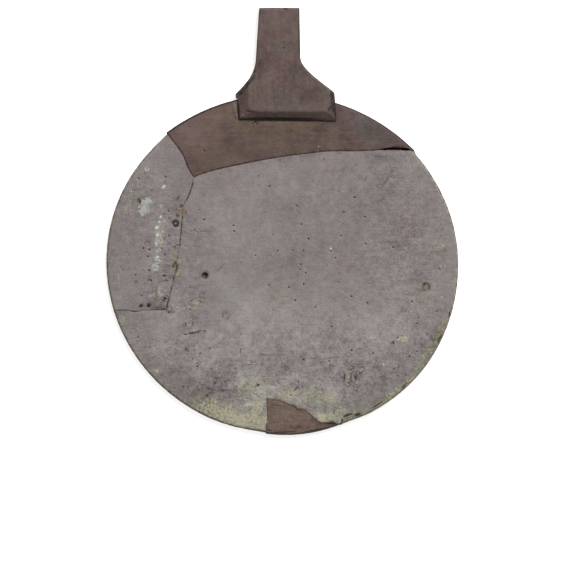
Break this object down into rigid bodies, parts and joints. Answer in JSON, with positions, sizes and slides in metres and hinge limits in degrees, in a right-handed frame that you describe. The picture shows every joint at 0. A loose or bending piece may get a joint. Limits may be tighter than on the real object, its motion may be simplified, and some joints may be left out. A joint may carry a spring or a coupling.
{
  "type": "bronze hand mirror",
  "caption": "Flat oval cast-bronze hand mirror with worn, pitted patina, mended breaks and a flared tang lapped over its rim.",
  "frame": {"origin": "on the underside, at the middle of the oval disc", "axes": "+Z out of the reflecting face, +Y in the disc's plane towards the tang, +X to the right seen from above"},
  "size_m": [0.1697, 0.2057, 0.0061],
  "materials": {
    "disc_bronze": "old cast bronze with a dull grey-mauve skin, small corrosion pits and yellow-green patches near the rim",
    "fragment_bronze": "the same old bronze, slightly darker, with pale green and white corrosion spots",
    "infill_bronze": "plain brown bronze with faint level streaks",
    "wedge_bronze": "plain brown bronze, a little warmer than the upper infill",
    "handle_bronze": "plain brown bronze with darker worn edges"
  },
  "bodies": {
    "root": {"mirror_disc": "disc_bronze", "left_fragment": "fragment_bronze", "upper_infill": "infill_bronze", "lower_infill": "wedge_bronze", "tang_handle": "handle_bronze"}
  },
  "joints": []
}
